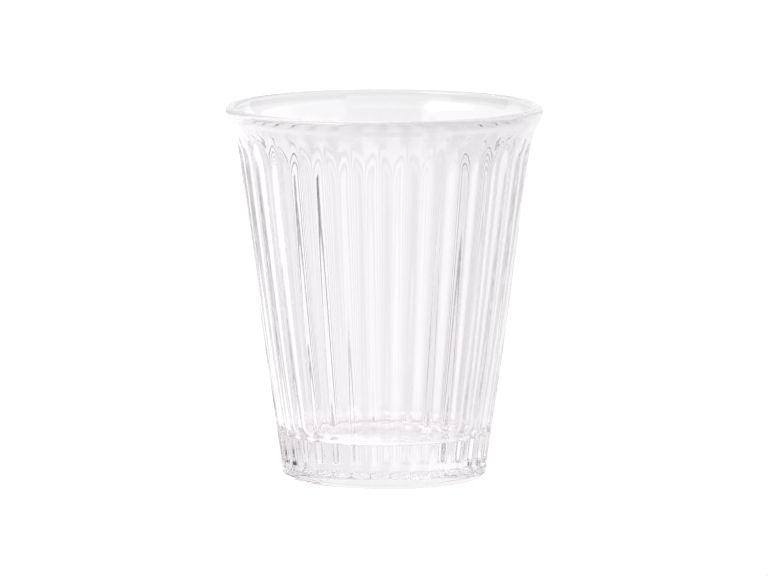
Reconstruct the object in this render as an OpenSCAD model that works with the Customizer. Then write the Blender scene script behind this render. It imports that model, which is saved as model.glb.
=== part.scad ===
// Pressed glass tumbler for tea: one clear piece with fine flutes and an out-turned lip.
// It stands on its foot with the axis along Z and the bearing plane at Z = 0.

/* [Size] */
// Height from the table to the top of the lip
height = 88; // [78:1:104]
// Outer diameter of the lip at its widest
lip_d = 75; // [71:0.5:84]
// Outer diameter at the neck, where the wall ends and the lip band turns outward
neck_d = 68.6; // [62:0.2:70]
// Outer diameter of the foot, just above its rolled corner
foot_d = 48.4; // [42:0.2:54]
// Height of the out-turned band, from the neck to the top of the lip
lip_band_h = 10.9; // [8:0.1:16]

/* [Wall] */
// Thickness of the wall, measured level, at the crest of a rib
wall_t = 2.6; // [2.2:0.1:3.4]
// Thickness of the rounded bead at the lip
bead_t = 2.6; // [2:0.1:3.2]
// Thickness of the solid base, from the bearing plane to the inside floor
base_t = 10.2; // [6:0.2:14]
// Radius inside, between the floor and the wall
floor_fillet_r = 3.5; // [2:0.1:5]

/* [Ribs] */
// Number of ribs
rib_count = 33; // [24:1:40]
// Height of a rib's crest above the valleys beside it
rib_h = 0.45; // [0.3:0.05:0.9]
// Angle from the X axis to the crest of the first rib
first_rib_angle = 0.7; // [0:0.1:15]
// Height of the plain foot below the ribs
plain_foot_h = 4; // [3:0.1:6]
// How far the plain foot stands proud of the rib crests
foot_proud = 0.1; // [0.05:0.05:0.3]

/* [Foot] */
// Radius of the rolled corner under the foot
corner_r = 1.5; // [1:0.1:2]
// Diameter of the shallow hollow under the base
hollow_d = 36; // [28:1:40]
// Height of the shallow hollow under the base
hollow_h = 0.6; // [0.3:0.1:1.2]

/* [Hidden] */
$fn = 96;

// Share of a rib's pitch that the rib takes; the rest is the valley
rib_width_share = 0.6;
// Outline of the lip band: shares of its height, and of its reach beyond the valleys
band_height_shares = [0.125, 0.27, 0.417, 0.573, 0.72, 0.865];
band_reach_shares = [0.076, 0.19, 0.367, 0.62, 0.81, 0.962];
// Where the ribs end inside the lip band, as a share of its height
rib_end_share = 0.5;
// Where the ribs start inside the foot, as a share of the height from its corner to its top
rib_start_share = 0.5;
// Outline of the hollow underneath: shares of its radius
hollow_shares = [0, 0.3, 0.55, 0.8];
// Steps in the bead, in the floor fillet and in the corner of the foot
bead_steps = 12;
fillet_steps = 8;
corner_steps = 6;

foot_r = foot_d / 2;
neck_r = neck_d / 2;
lip_r = lip_d / 2;
bead_r = bead_t / 2;
neck_z = height - lip_band_h;
bead_z = height - bead_r;
band_rise = bead_z - neck_z;

// Radius of the straight tapered wall at a height: at the rib crests, and in the valleys
function crest_r(z) = foot_r + (neck_r - foot_r) * (z - corner_r) / (neck_z - corner_r);
function valley_r(z) = crest_r(z) - rib_h;

// Outer radius of the lip band, from the valleys out to the bead
valley_neck_r = valley_r(neck_z);
band_z = [for (s = band_height_shares) neck_z + band_rise * s];
band_r = [for (s = band_reach_shares) valley_neck_r + (lip_r - valley_neck_r) * s];

// Inside of the wall, one wall thickness in from the crests
function bore_r(z) = crest_r(z) - wall_t;
fillet_z = base_t + floor_fillet_r;
fillet_centre_r = bore_r(fillet_z) - floor_fillet_r;

hollow_points = [for (s = hollow_shares) [hollow_d / 2 * s, hollow_h * (1 - s * s)]];
corner_points = [for (k = [0:corner_steps]) let (a = 90 * k / corner_steps)
    [foot_r + foot_proud - corner_r + corner_r * sin(a), corner_r - corner_r * cos(a)]];
foot_top_z = plain_foot_h + 2 * rib_h;
wall_points = [
    [crest_r(plain_foot_h) + foot_proud, plain_foot_h],
    [valley_r(foot_top_z), foot_top_z],
    [valley_neck_r, neck_z]
];
band_points = [for (k = [0:len(band_z) - 1]) [band_r[k], band_z[k]]];
bead_points = [for (k = [0:bead_steps]) let (a = 180 * k / bead_steps)
    [lip_r - bead_r + bead_r * cos(a), bead_z + bead_r * sin(a)]];
band_inner_points = [for (k = [len(band_z) - 1:-1:1]) [band_r[k] - wall_t, band_z[k]]];
bore_points = concat(
    [[bore_r(neck_z), neck_z]],
    [for (k = [0:fillet_steps]) let (a = 90 * k / fillet_steps)
        [fillet_centre_r + floor_fillet_r * cos(a), fillet_z - floor_fillet_r * sin(a)]],
    [[0, base_t]]
);
outline = concat(hollow_points, [[hollow_d / 2, 0]], corner_points, wall_points,
    band_points, bead_points, band_inner_points, bore_points);

// One rib: part of a tapered round bar that lies along the wall, with its ends buried in foot and lip
rib_half_angle = 180 / rib_count * rib_width_share;
function bar_r(c, v) = (c * c + v * v - 2 * c * v * cos(rib_half_angle))
    / (2 * (c - v * cos(rib_half_angle)));
rib_low_z = corner_r + (plain_foot_h - corner_r) * rib_start_share;
rib_top_z = neck_z + band_rise * rib_end_share;
bar_low_r = bar_r(crest_r(rib_low_z), valley_r(rib_low_z));
bar_top_r = bar_r(crest_r(rib_top_z), valley_r(rib_top_z));
bar_run = crest_r(rib_top_z) - bar_top_r - crest_r(rib_low_z) + bar_low_r;
bar_rise = rib_top_z - rib_low_z;
bar_l = sqrt(bar_run * bar_run + bar_rise * bar_rise);
bar_lean = atan2(bar_run, bar_rise);

// The bars are trimmed halfway through the wall, so that nothing of them shows inside
function core_r(z) = (valley_r(z) + bore_r(z)) / 2;

module rib_bar() {
    translate([crest_r(rib_low_z) - bar_low_r, 0, rib_low_z]) {
        rotate([0, bar_lean, 0]) cylinder(h = bar_l, r1 = bar_low_r, r2 = bar_top_r);
    }
}

module ribs() {
    core_low_z = rib_low_z - bar_top_r;
    core_top_z = rib_top_z + bar_top_r;
    difference() {
        for (i = [0:rib_count - 1]) {
            rotate([0, 0, 360 * (i + 0.5) / rib_count]) rib_bar();
        }
        translate([0, 0, core_low_z]) {
            cylinder(h = core_top_z - core_low_z, r1 = core_r(core_low_z), r2 = core_r(core_top_z));
        }
    }
}

module tumbler() {
    color([0.88, 0.93, 0.92, 0.45])
    rotate([0, 0, first_rib_angle - 180 / rib_count]) {
        rotate_extrude() polygon(outline);
        ribs();
    }
}

tumbler();
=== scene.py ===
# %% [markdown]
# # A pressed tea glass, dressed for its portrait
# One clear pressing: a smooth out-turned lip, a ring of fine ribs with arched tops, a tapered wall and a
# thick solid base. The CAD model gives its place and size. Here it gets the soft rib section, the rounded
# edges and the glass itself, on a plain white ground. The scene is in metres, the outline's own sizes are in
# millimetres, and the axis of the glass is the Z axis.

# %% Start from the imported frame
import bpy
import math
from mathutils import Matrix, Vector


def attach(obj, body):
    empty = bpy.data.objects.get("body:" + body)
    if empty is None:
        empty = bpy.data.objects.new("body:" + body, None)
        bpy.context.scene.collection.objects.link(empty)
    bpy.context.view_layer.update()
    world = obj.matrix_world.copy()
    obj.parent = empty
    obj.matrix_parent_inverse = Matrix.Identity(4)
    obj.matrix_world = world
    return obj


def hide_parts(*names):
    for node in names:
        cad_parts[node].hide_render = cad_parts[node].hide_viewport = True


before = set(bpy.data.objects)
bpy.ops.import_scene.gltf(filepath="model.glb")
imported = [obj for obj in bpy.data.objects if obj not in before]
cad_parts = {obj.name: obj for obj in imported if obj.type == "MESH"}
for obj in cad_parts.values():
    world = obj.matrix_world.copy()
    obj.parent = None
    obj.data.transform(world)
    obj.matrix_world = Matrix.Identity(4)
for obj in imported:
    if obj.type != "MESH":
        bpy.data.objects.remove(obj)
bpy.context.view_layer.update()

# %% [markdown]
# ## The sizes
# A pressed glass is ruled by a few sizes: how high it stands, how far the lip reaches, how thick the wall and
# the base are, and how round its edges come out of the mould. They could be measured on the CAD mesh, but a
# short list of names is easier to read.

# %% Sizes of the outline, in millimetres
mm = 0.001
height = 88.0
lip_r = 37.5
bead_r = 1.3
wall_t = 2.6
floor_z = 10.2
fillet_r = 3.5
corner_r = 1.5
hollow_r = 18.0
hollow_h = 0.6
neck_z = 77.1

# %% [markdown]
# ## The outline
# On the real glass the mould turns the outside and a plunger presses the inside, so both are bodies of
# revolution. The outside is written once, as height and radius at the rib crests, read off the photo's
# silhouette through the fitted camera. Straight steps between so few points would show as rings in clear
# glass, so a smooth curve runs through them. The inside follows it, one wall thickness further in.

# %% Radius of the outside at a height, at the rib crests
side = [(1.5, 24.25), (5.5, 24.7), (17.4, 26.4), (29.3, 28.15), (41.3, 29.75), (53.2, 31.25),
        (65.1, 32.75), (71.1, 33.5), (75.0, 34.02), (77.1, 34.33), (78.3, 34.56), (79.7, 34.88),
        (81.1, 35.33), (82.6, 35.98), (84.0, 36.7), (85.4, 37.3), (86.2, 37.47)]
foot_r = side[0][1]
side_top_z = side[-1][0]


def outside(z):
    """Crest radius at height z, eased between the points so that no ring shows as an edge."""
    last = len(side) - 2
    k = next((k for k in range(last) if z <= side[k + 1][0]), last)
    (z0, r0), (z1, r1) = side[k], side[k + 1]
    h = z1 - z0
    slope = (r1 - r0) / h
    before = (r1 - side[k - 1][1]) / (z1 - side[k - 1][0]) if k > 0 else slope
    after = (side[k + 2][1] - r0) / (side[k + 2][0] - z0) if k < last else slope
    t = (z - z0) / h
    return (r0 * (1 + 2 * t) * (1 - t) ** 2 + before * h * t * (1 - t) ** 2
            + r1 * t * t * (3 - 2 * t) + after * h * t * t * (t - 1))


print("radius at the neck", round(outside(neck_z), 2), "at the foot", foot_r)


# %% The outside, from the middle of the hollow underneath up to the bead
def arc(centre_r, centre_z, r, start, stop, steps):
    """Points of an arc, between two angles in degrees from the outward direction."""
    angles = [math.radians(start + (stop - start) * k / steps) for k in range(steps + 1)]
    return [(centre_r + r * math.cos(a), centre_z + r * math.sin(a)) for a in angles]


def spread(start, stop, steps):
    """Evenly spaced values after start, up to stop."""
    return [start + (stop - start) * k / steps for k in range(1, steps + 1)]


hollow_shares = (0, 0.25, 0.5, 0.7, 0.85, 0.95, 1)
bearing_r = 20.4
outline = [(hollow_r * s, hollow_h * (1 - s * s)) for s in hollow_shares]
outline.append((bearing_r, 0.0))
outline += arc(foot_r - corner_r, corner_r, corner_r, -90, 0, 8)
# The rows lie closest where the flutes end, just above the foot and in the lip band
heights = spread(corner_r, 2.7, 3) + spread(2.7, 4.3, 11) + spread(4.3, 9.0, 5) + spread(9.0, 74.0, 16)
heights += spread(74.0, 84.2, 30) + spread(84.2, 86.6, 5)
outline += [(outside(min(z, side_top_z)), z) for z in heights]
outside_count = len(outline)
print("outside points", outside_count)

# %% The bead and the inside, down to the middle of the floor
outline += arc(lip_r - bead_r, height - bead_r, bead_r, 8, 172, 14)
inner_heights = [85.6, 84.6, 83.4, 82.2, 81.0, 79.6, 78.2, 76.6, 75.0] + spread(75.0, 13.8, 10)
outline += [(outside(z) - wall_t, z) for z in inner_heights]
fillet_z = floor_z + fillet_r
outline += arc(outside(fillet_z) - wall_t - fillet_r, fillet_z, fillet_r, 0, -90, 9)
outline += [(r, floor_z) for r in (12.0, 5.0, 0.0)]
print("outline points", len(outline))

# %% [markdown]
# ## How deep the flutes are
# The ribs are what the mould leaves between shallow flutes. In the photo the dark lines taper to a point,
# like flames, which is what flutes give that grow deeper on the way down. They are shallower again in the lip
# band and just above the foot. One depth for all would be simpler, but the lines would then be even from top
# to bottom. Each point of the outline carries its own depth as an attribute.

# %% Depth of the flutes at a height
neck_depth = 0.66 * mm
# The change of depth in the lip band, and the heights over which it comes
lip_depth = 0.58 * mm
lip_run = 4.5
# The growth on the way down
growth_share = 0.12
growth_top_z = 77.0
growth_run = 68.0
# The loss just above the foot
loss_share = 0.15
loss_top_z = 16.0
loss_run = 12.0


def flute_depth(z):
    """Depth in metres of a flute below the crests, at a height in millimetres."""
    past_neck = min(max((z - neck_z) / lip_run, 0.0), 1.0)
    below_neck = max((growth_top_z - z) / growth_run, 0.0)
    near_foot = max((loss_top_z - z) / loss_run, 0.0)
    return ((neck_depth + (lip_depth - neck_depth) * past_neck ** 2)
            * (1 + growth_share * below_neck) * (1 - loss_share * near_foot ** 2))


print("height and depth", [(z, round(flute_depth(z) / mm, 3)) for z in (5, 15, 40, 77, 82)])

# %% The outline as a line of edges that carries the depth
points = [(r * mm, 0.0, z * mm) for r, z in outline]
edges = [(k, k + 1) for k in range(len(points) - 1)]
line = bpy.data.meshes.new("outline")
line.from_pydata(points, edges, [])
depth = line.attributes.new("flute_depth", "FLOAT", "POINT")
for point, (r, z) in zip(depth.data, outline[:outside_count]):
    point.value = flute_depth(z)
tumbler = bpy.data.objects.new("tumbler_glass", line)
bpy.context.scene.collection.objects.link(tumbler)
print("line points", len(line.vertices), "edges", len(line.edges))

# %% [markdown]
# ## Turning the outline and pressing the ribs
# The ribs follow a rule: evenly spaced round the axis, a soft wave in section, and each flute ends in an arch
# at the neck and at the foot. Geometry Nodes make them, so that the count and the arches are plain inputs. A
# grid is wrapped round the axis, each of its rows takes one point of the outline, and the fluted rows are
# pulled in by the wave. Separate cutters would leave sharp edges, which fire polishing has melted away on the
# real glass.

# %% The tree and its inputs
press_tree = bpy.data.node_groups.new("turned_and_ribbed", "GeometryNodeTree")
press_tree.is_modifier = True
openings = [("Geometry", "Geometry"), ("Ribs", "Int"), ("First crest", "Float"), ("Steps per rib", "Int"),
            ("Arch top", "Float"), ("Arch height", "Float"), ("Arch ledge", "Float"),
            ("Foot top", "Float"), ("Foot arch", "Float"), ("Foot fade", "Float"), ("Glass", "Material")]
for name, kind in openings:
    press_tree.interface.new_socket(name=name, in_out="INPUT", socket_type="NodeSocket" + kind)
press_tree.interface.new_socket(name="Geometry", in_out="OUTPUT", socket_type="NodeSocketGeometry")
given = press_tree.nodes.new("NodeGroupInput").outputs
made = press_tree.nodes.new("NodeGroupOutput").inputs
print("tree inputs", [name for name, kind in openings])


# %% A grid with a row for each point of the outline
def add_node(tree, kind, inputs=None, **settings):
    """Add a node, set its options, and type in or link each of its inputs."""
    added = tree.nodes.new(kind)
    for name, value in settings.items():
        setattr(added, name, value)
    for name, value in (inputs or {}).items():
        if isinstance(value, bpy.types.NodeSocket):
            tree.links.new(value, added.inputs[name])
        else:
            added.inputs[name].default_value = value
    return added


def calc(operation, *values):
    """One Math node of the press tree."""
    return add_node(press_tree, "ShaderNodeMath", dict(enumerate(values)), operation=operation).outputs[0]


rows = add_node(press_tree, "GeometryNodeAttributeDomainSize", {"Geometry": given["Geometry"]},
                component="MESH")
columns = calc("ADD", calc("MULTIPLY", given["Ribs"], given["Steps per rib"]), 1)
grid = add_node(press_tree, "GeometryNodeMeshGrid",
                {"Vertices X": rows.outputs["Point Count"], "Vertices Y": columns})
index = press_tree.nodes.new("GeometryNodeInputIndex").outputs[0]
row = calc("FLOOR", calc("DIVIDE", calc("ADD", index, 0.5), columns))
column = calc("SUBTRACT", index, calc("MULTIPLY", row, columns))
angle = calc("MULTIPLY", calc("DIVIDE", column, calc("SUBTRACT", columns, 1)), math.tau)
print("nodes for the grid", len(press_tree.nodes))


# %% What each row reads from its point of the outline
def from_outline(kind, value):
    """A value of the outline's point that belongs to this row."""
    inputs = {"Geometry": given["Geometry"], "Value": value, "Index": row}
    return add_node(press_tree, "GeometryNodeSampleIndex", inputs, data_type=kind, domain="POINT").outputs[0]


position = press_tree.nodes.new("GeometryNodeInputPosition").outputs[0]
place = add_node(press_tree, "ShaderNodeSeparateXYZ", {0: from_outline("FLOAT_VECTOR", position)})
radius, level = place.outputs["X"], place.outputs["Z"]
named = add_node(press_tree, "GeometryNodeInputNamedAttribute", {"Name": "flute_depth"}, data_type="FLOAT")
row_depth = from_outline("FLOAT", named.outputs["Attribute"])
print("nodes with the readings", len(press_tree.nodes))


# %% The wave, with broad flutes and sharper crests, and the arches that end it
def ease(tree, value, start, stop, low=0.0, high=1.0, kind="SMOOTHSTEP"):
    """Go from low to high while a value goes from start to stop."""
    inputs = {"Value": value, "From Min": start, "From Max": stop, "To Min": low, "To Max": high}
    return add_node(tree, "ShaderNodeMapRange", inputs, interpolation_type=kind).outputs[0]


def ending(inward, arch, run):
    """0 past the flute's end and 1 inside it, with an arch that ends it sooner beside the crests."""
    return ease(press_tree, calc("SUBTRACT", inward, calc("MULTIPLY", crest, arch)), 0.0, run)


flute_power = 0.75
turn = calc("MULTIPLY", calc("SUBTRACT", angle, given["First crest"]), given["Ribs"])
wave = calc("POWER", calc("SUBTRACT", 0.5, calc("MULTIPLY", calc("COSINE", turn), 0.5)), flute_power)
crest = calc("SUBTRACT", 1, wave)
above = ending(calc("SUBTRACT", given["Arch top"], level), given["Arch height"], given["Arch ledge"])
below = ending(calc("SUBTRACT", level, given["Foot top"]), given["Foot arch"], given["Foot fade"])
pull = calc("MULTIPLY", calc("MULTIPLY", wave, row_depth), calc("MULTIPLY", above, below))
reach = calc("SUBTRACT", radius, pull)
print("nodes with the wave", len(press_tree.nodes))

# %% Wrap the grid and close its seam and poles
weld_gap = 0.002 * mm
spot = add_node(press_tree, "ShaderNodeCombineXYZ",
                {"X": calc("MULTIPLY", reach, calc("COSINE", angle)),
                 "Y": calc("MULTIPLY", reach, calc("SINE", angle)), "Z": level})
finishing = [("GeometryNodeSetPosition", {"Position": spot.outputs[0]}),
             ("GeometryNodeMergeByDistance", {"Distance": weld_gap}),
             ("GeometryNodeSetShadeSmooth", {}),
             ("GeometryNodeRealizeInstances", {}),
             ("GeometryNodeSetMaterial", {"Material": given["Glass"]})]
shape = grid.outputs["Mesh"]
for kind, inputs in finishing:
    shape = add_node(press_tree, kind, {"Geometry": shape, **inputs}).outputs[0]
press_tree.links.new(shape, made[0])
print("tree nodes", len(press_tree.nodes))

# %% [markdown]
# ## The glass
# Soda-lime glass is clear, with an index of 1.52. A Glass shader would do here, but the Principled shader is
# the one that the export keeps. Pressed glass is never optically flat, because the mould chills its skin: a
# low, slow swell along the wall goes in as bump, and a finer stipple lies on the inside floor, as in the
# photo. Both read Object coordinates, so they stay with the glass in every view.

# %% The clear shader
glass = bpy.data.materials.new("pressed_glass")
glass.use_nodes = True
glass_tree = glass.node_tree
skin = glass_tree.nodes["Principled BSDF"].inputs
skin["Roughness"].default_value = 0.0
skin["IOR"].default_value = 1.52
skin["Transmission Weight"].default_value = 1.0
coords = glass_tree.nodes.new("ShaderNodeTexCoord").outputs["Object"]
print("index of refraction", round(skin["IOR"].default_value, 3))

# %% The swell of the wall and the stipple of the floor
bump_height = 0.1 * mm
swell_strength = 0.1
stipple_full_r = 20.0 * mm
stipple_end_r = 21.5 * mm
stretched = add_node(glass_tree, "ShaderNodeMapping", {"Vector": coords, "Scale": (1.0, 1.0, 0.22)})
swell = add_node(glass_tree, "ShaderNodeTexNoise",
                 {"Vector": stretched.outputs[0], "Scale": 140.0, "Detail": 1.5})
waviness = add_node(glass_tree, "ShaderNodeBump",
                    {"Strength": swell_strength, "Distance": bump_height, "Height": swell.outputs["Fac"]})
grain = add_node(glass_tree, "ShaderNodeTexNoise", {"Vector": coords, "Scale": 900.0, "Detail": 2.0})
from_floor = add_node(glass_tree, "ShaderNodeVectorMath", {0: coords, 1: (0.0, 0.0, floor_z * mm)},
                      operation="SUBTRACT")
floor_distance = add_node(glass_tree, "ShaderNodeVectorMath", {0: from_floor.outputs[0]}, operation="LENGTH")
on_floor = ease(glass_tree, floor_distance.outputs["Value"], stipple_end_r, stipple_full_r, kind="LINEAR")
stipple = add_node(glass_tree, "ShaderNodeBump",
                   {"Strength": on_floor, "Distance": bump_height, "Height": grain.outputs["Fac"],
                    "Normal": waviness.outputs[0]})
glass_tree.links.new(stipple.outputs[0], skin["Normal"])
print("bump height in millimetres", round(bump_height / mm, 3))

# %% [markdown]
# ## The tone of the glass, and painted shade in the lip
# The photo's glass has a faint pink cast, from what the maker adds against the green of iron, and it is
# greyer in the rolled lip. A darker room would grey the lip too, but also the wall, so that grey is painted
# shade in the tint of the skin, which falls with the height. The cast is in that tint, and in a weak
# absorption inside the glass, which shows most where the light's way is long, in the base.

# %% Painted shade towards the lip in the tint, and the cast inside
lip_shade_low_z = 74 * mm
lip_shade_high_z = 88 * mm
# The stops fall from 0.925 to 0.77 towards the lip: painted shade over the glass's own faint pink tint
tint_and_lip_shade_stops = [(0.0, 0.925), (0.4, 0.9), (0.8, 0.88), (0.9, 0.77)]
green_share = 0.985
up = add_node(glass_tree, "ShaderNodeSeparateXYZ", {0: coords})
# How far up the lip band a point lies, which sets how deep the painted shade is
lip_shade_share = ease(glass_tree, up.outputs["Z"], lip_shade_low_z, lip_shade_high_z, kind="LINEAR")
tint_and_lip_shade = add_node(glass_tree, "ShaderNodeValToRGB", {0: lip_shade_share})
while len(tint_and_lip_shade.color_ramp.elements) < len(tint_and_lip_shade_stops):
    tint_and_lip_shade.color_ramp.elements.new(1.0)
for stop, (at_share, tone) in zip(tint_and_lip_shade.color_ramp.elements, tint_and_lip_shade_stops):
    stop.position = at_share
    stop.color = (tone, tone * green_share, tone, 1.0)
glass_tree.links.new(tint_and_lip_shade.outputs["Color"], skin["Base Color"])
cast = add_node(glass_tree, "ShaderNodeVolumeAbsorption", {"Color": (0.1, 0.0, 0.1, 1.0), "Density": 2.4})
glass_tree.links.new(cast.outputs[0], glass_tree.nodes["Material Output"].inputs["Volume"])
print("tint stops", [(round(s.position, 2), round(s.color[0], 3)) for s in tint_and_lip_shade.color_ramp.elements])

# %% [markdown]
# ## Pressing the glass
# The real glass is pressed once and then only fire polished. Here the tree runs once on the outline, and its
# result becomes a plain mesh. The modifier could stay live, but a plain mesh is what the export takes, and it
# gives the same glass in every later step.

# %% Run the tree and keep its mesh
press = tumbler.modifiers.new("turned_and_ribbed", "NODES")
press.node_group = press_tree
sockets = {item.name: item.identifier for item in press_tree.interface.items_tree
           if item.item_type == "SOCKET" and item.in_out == "INPUT"}
press_inputs = {
    "Ribs": 33,
    "First crest": math.radians(0.7),
    "Steps per rib": 20,
    "Arch top": 82.8 * mm,
    "Arch height": 3.0 * mm,
    "Arch ledge": 8.0 * mm,
    "Foot top": 2.8 * mm,
    "Foot arch": 0.1 * mm,
    "Foot fade": 1.2 * mm,
    "Glass": glass,
}
for name, value in press_inputs.items():
    press[sockets[name]] = value
shaped = tumbler.evaluated_get(bpy.context.evaluated_depsgraph_get())
pressed = bpy.data.meshes.new_from_object(shaped)
tumbler.modifiers.clear()
tumbler.data = pressed
pressed.name = "tumbler_glass"
print("glass faces", len(pressed.polygons), "vertices", len(pressed.vertices))

# %% Turn the faces outward if need be, and say which node the glass stands for
volume = sum(f.center.dot(f.normal) * f.area for f in pressed.polygons) / 3
if volume < 0:
    pressed.flip_normals()
print("volume in cubic millimetres", round(abs(volume) / mm ** 3))
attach(tumbler, "root")
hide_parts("tumbler")

# %% [markdown]
# ## The ground
# The photo is a cut-out on pure white with no shadow, as on a lit table. A matt white sheet under lamps would
# carry a shadow, so the sheet gives its own light instead. It glows a little more on the left and under the
# foot, which brings the light in the base to where the photo has it.

# %% The sheet
sheet_half = 3
sheet_z = -0.1 * mm
corners = [(x * sheet_half, y * sheet_half, sheet_z) for x, y in ((-1, -1), (1, -1), (1, 1), (-1, 1))]
sheet = bpy.data.meshes.new("ground")
sheet.from_pydata(corners, [], [(0, 1, 2, 3)])
ground = bpy.data.objects.new("ground", sheet)
bpy.context.scene.collection.objects.link(ground)
paper = bpy.data.materials.new("white_ground")
paper.use_nodes = True
sheet.materials.append(paper)
print("ground", 2 * sheet_half, "metres across")

# %% Its glow
side_glow = 1.18
# Where the left glow starts and ends, as the share of a place's distance that lies to the side
glow_turn = 0.3
foot_glow = 1.08
foot_glow_full_r = 15.0 * mm
foot_glow_end_r = 23.5 * mm
paper_tree = paper.node_tree
paper_skin = paper_tree.nodes["Principled BSDF"].inputs
paper_skin["Base Color"].default_value = (0.0, 0.0, 0.0, 1.0)
paper_skin["Emission Color"].default_value = (1.0, 1.0, 1.0, 1.0)
paper_skin["Specular IOR Level"].default_value = 0.0
at = paper_tree.nodes.new("ShaderNodeTexCoord").outputs["Object"]
at_xyz = add_node(paper_tree, "ShaderNodeSeparateXYZ", {0: at})
far = add_node(paper_tree, "ShaderNodeVectorMath", {0: at}, operation="LENGTH").outputs["Value"]
aside = add_node(paper_tree, "ShaderNodeMath", {0: at_xyz.outputs["X"], 1: far}, operation="DIVIDE")
from_side = ease(paper_tree, aside.outputs[0], -glow_turn, glow_turn, side_glow, 1.0)
under_foot = ease(paper_tree, far, foot_glow_full_r, foot_glow_end_r, foot_glow, 1.0)
glow = add_node(paper_tree, "ShaderNodeMath", {0: from_side, 1: under_foot}, operation="MULTIPLY")
paper_tree.links.new(glow.outputs[0], paper_skin["Emission Strength"])
print("glow 1.0 on the right,", side_glow, "on the left, and", foot_glow, "times that under the foot")

# %% [markdown]
# ## The room's light
# Clear glass has no look of its own: it shows the room, bent. The photo's glass wants an even white room, a
# bright card high on the left for the white patch inside the lip, a dim one on the right, and black flags for
# the dark lines. Area lamps and planes would do it, but they stand in the way of other views, so the cards
# are drawn in the sky. The low flags end just above the horizon, so that a level view still sees white.

# %% Azimuth and elevation of each direction in the sky, in degrees
world = bpy.data.worlds.new("studio")
bpy.context.scene.world = world
world.use_nodes = True
sky_tree = world.node_tree
sky_tree.nodes.clear()


def sky_calc(operation, *values):
    """One Math node of the sky's tree."""
    return add_node(sky_tree, "ShaderNodeMath", dict(enumerate(values)), operation=operation).outputs[0]


direction = sky_tree.nodes.new("ShaderNodeTexCoord").outputs["Generated"]
way = add_node(sky_tree, "ShaderNodeSeparateXYZ", {0: direction}).outputs
azimuth = sky_calc("MULTIPLY", sky_calc("ARCTAN2", way["X"], way["Y"]), 180 / math.pi)
elevation = sky_calc("MULTIPLY", sky_calc("ARCSINE", way["Z"]), 180 / math.pi)
print("sky nodes for the direction", len(sky_tree.nodes))

# %% The cards
# Each card: azimuth from the back towards the right, elevation, half width, half height and softness in
# degrees, and its gain. A gain above 0 is added to the room's light, and one below 0 takes that share away.
cards = [
    ("upper room", 0, 48, 183, 43, 3, 0.124),
    ("bright card", -112, 57, 24, 14, 3, 3.4),
    ("dim card", 118, 47, 28, 17, 6, -0.5),
    ("right flag", 100, 11, 50, 8.2, 0.4, -1.0),
    ("left flag", -95, 11, 30, 8.2, 0.4, -1.0),
    ("camera flag", 180, 37, 36, 17, 3, -1.0),
]
light = 0.98


def within(offset, half, soft):
    """1 where an offset is inside half a card's size, 0 outside it, soft in between."""
    return ease(sky_tree, sky_calc("MULTIPLY", offset, -1), -half - soft, -half + soft)


for name, card_azimuth, card_elevation, half_width, half_height, soft, gain in cards:
    aside_by = sky_calc("ABSOLUTE", sky_calc("WRAP", sky_calc("SUBTRACT", azimuth, card_azimuth), 180, -180))
    above_by = sky_calc("ABSOLUTE", sky_calc("SUBTRACT", elevation, card_elevation))
    on_card = sky_calc("MULTIPLY", within(aside_by, half_width, soft), within(above_by, half_height, soft))
    change = sky_calc("MULTIPLY", on_card, gain)
    light = sky_calc("ADD", light, change if gain > 0 else sky_calc("MULTIPLY", light, change))
lamp = add_node(sky_tree, "ShaderNodeBackground", {"Color": (1.0, 1.0, 1.0, 1.0), "Strength": light})
add_node(sky_tree, "ShaderNodeOutputWorld", {0: lamp.outputs[0]})
print("cards", [card[0] for card in cards])

# %% [markdown]
# ## The camera
# The photo looks down on the glass by a few degrees, from well back. The angle and the distance come from a
# fit to the ellipses of the rim and the foot. The lens is worked out from how many pixels of a picture 768
# wide show a millimetre of the glass, because that can be measured, while the photo's lens isn't known.

# %% The camera, fitted to the ellipses of the rim and the foot
picture_width = 768
pixels_per_mm = 4.227
distance = 1.63
tilt = math.radians(7.62)
aim = Vector((0.0, 0.0, 0.0445))
towards_camera = Vector((0.0, -math.cos(tilt), math.sin(tilt)))
lens_data = bpy.data.cameras.new("camera")
lens_data.sensor_width = 36.0
lens_data.lens = pixels_per_mm / mm * distance / picture_width * lens_data.sensor_width
lens_data.clip_end = 50.0
camera = bpy.data.objects.new("camera", lens_data)
bpy.context.scene.collection.objects.link(camera)
camera.location = aim + towards_camera * distance
camera.rotation_mode = "QUATERNION"
camera.rotation_quaternion = (-towards_camera).to_track_quat("-Z", "Y")
bpy.context.scene.camera = camera
print("camera at", [round(v, 3) for v in camera.location], "lens", round(lens_data.lens, 1))

# %% [markdown]
# ## How light is traced and shown
# Light crosses many faces of a ribbed glass before it leaves, and a ray that is cut short turns black. So the
# limit on its bounces is set well above what an opaque object needs. The Standard view keeps the white of the
# ground white, where a film-like view would grey it.

# %% Bounces and view
bounces = 64
scene = bpy.context.scene
scene.view_settings.view_transform = "Standard"
for limit in ("max_bounces", "transmission_bounces", "glossy_bounces"):
    setattr(scene.cycles, limit, bounces)
print("bounces", scene.cycles.max_bounces, "view", scene.view_settings.view_transform)
